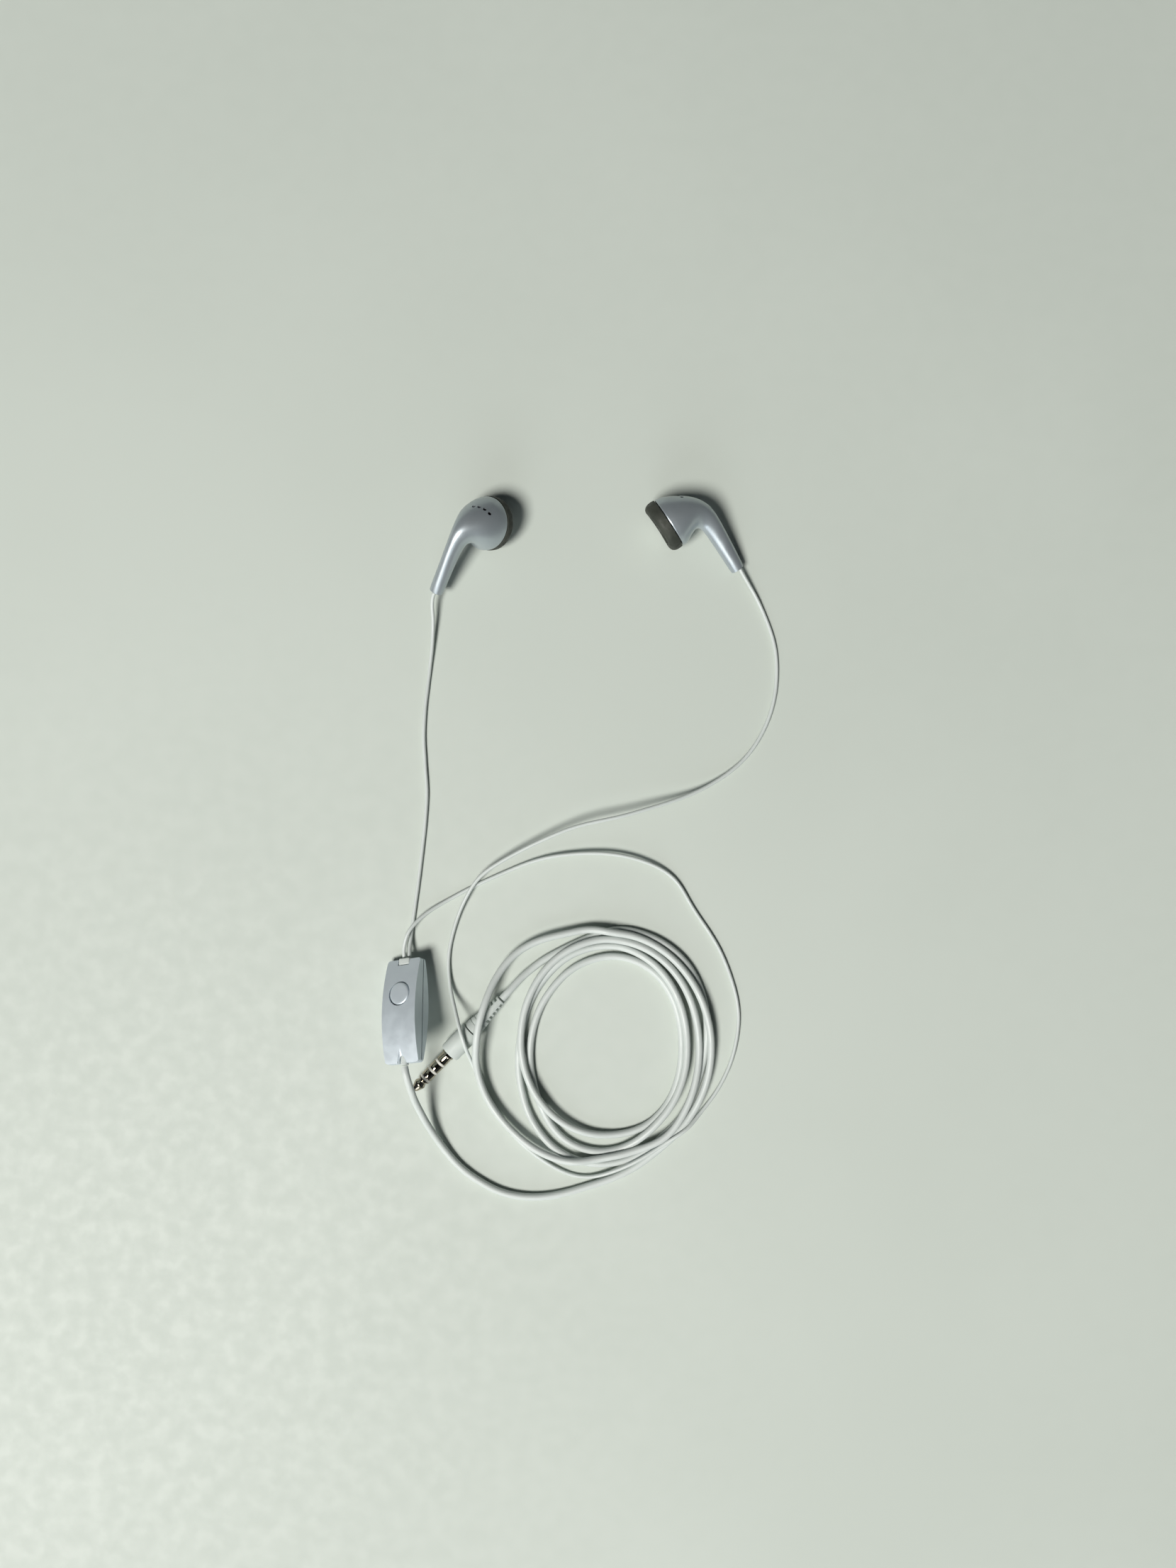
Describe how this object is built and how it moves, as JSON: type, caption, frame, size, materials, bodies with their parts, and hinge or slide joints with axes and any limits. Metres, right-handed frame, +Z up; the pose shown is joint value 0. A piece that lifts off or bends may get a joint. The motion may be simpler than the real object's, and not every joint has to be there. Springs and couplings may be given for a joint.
{
  "type": "wired earphones",
  "caption": "Wired earphones: open earbuds with oval stems, an in-line remote with a button and microphone, and a long cord wound in a loose oval coil that ends in a small round plug.",
  "frame": {"origin": "on the surface the set lies on, under the middle of the space that the earbuds and the remote take", "axes": "+Y from the remote towards the earbuds, +X from the left earbud to the right one, +Z up"},
  "size_m": [0.1148, 0.205, 0.0168],
  "materials": {
    "housing": "polished, faintly bluish white",
    "cover": "satin, faintly bluish white",
    "trim": "satin light grey",
    "ear_rubber": "soft, matte, dark olive grey",
    "mesh_cloth": "fine woven mesh",
    "film": "thin clear film",
    "coil_wire": "enamelled copper wire",
    "driver_frame": "moulded, black",
    "steel": "turned and plated",
    "magnet": "nickel plated",
    "board": "lacquered board",
    "felt": "felt",
    "cord_jacket": "smooth, semi-matte white jacket",
    "moulding": "matte white",
    "contact": "polished, warm nickel",
    "insulator": "cream white"
  },
  "bodies": {
    "root": {"left_rear_housing": "housing", "left_stem_cap": "trim", "left_front_frame": "trim", "left_ear_ring": "ear_rubber", "left_acoustic_mesh": "mesh_cloth", "left_basket": "driver_frame", "left_pole_plate": "steel", "left_magnet": "magnet", "left_yoke": "steel", "left_terminal_board": "board", "left_vent_felt": "felt", "right_rear_housing": "housing", "right_stem_cap": "trim", "right_front_frame": "trim", "right_ear_ring": "ear_rubber", "right_acoustic_mesh": "mesh_cloth", "right_basket": "driver_frame", "right_pole_plate": "steel", "right_magnet": "magnet", "right_yoke": "steel", "right_terminal_board": "board", "right_vent_felt": "felt", "remote_top_cover": "cover", "remote_bottom_cover": "cover", "remote_dome_switch": "steel", "remote_circuit_board": "board", "remote_mic_capsule": "steel", "remote_mic_gasket": "felt", "remote_bud_cord_collar": "cord_jacket", "remote_main_cord_anchor": "cord_jacket", "plug_tip": "contact", "plug_first_ring": "contact", "plug_second_ring": "contact", "plug_sleeve": "contact", "plug_core": "steel", "plug_moulding": "moulding", "plug_strain_relief": "moulding", "plug_insulator_1": "insulator", "plug_insulator_2": "insulator", "plug_insulator_3": "insulator", "left_bud_cord": "cord_jacket", "right_bud_cord_start": "cord_jacket", "right_bud_cord_over_plug": "cord_jacket", "right_bud_cord_end": "cord_jacket", "main_cord_start": "cord_jacket", "main_cord_outer_turn": "cord_jacket", "main_cord_plug_end": "cord_jacket", "main_cord_coil": "cord_jacket"},
    "left_cone": {"left_diaphragm": "film", "left_voice_coil": "coil_wire"},
    "right_cone": {"right_diaphragm": "film", "right_voice_coil": "coil_wire"},
    "button": {"remote_button": "cover"}
  },
  "joints": [
    {"name": "left_cone_travel", "type": "slide", "parent": "root", "child": "left_cone", "axis": [0.5506, 0.1443, -0.8222], "range_m": [-0.00015, 0.00015], "stiffness_N_per_m": 20},
    {"name": "right_cone_travel", "type": "slide", "parent": "root", "child": "right_cone", "axis": [-0.8295, -0.5454, -0.1206], "range_m": [-0.00015, 0.00015], "stiffness_N_per_m": 20},
    {"name": "button_press", "type": "slide", "parent": "root", "child": "button", "axis": [0.437, -0.3098, -0.8444], "range_m": [0, 0.00025], "stiffness_N_per_m": 2000}
  ]
}
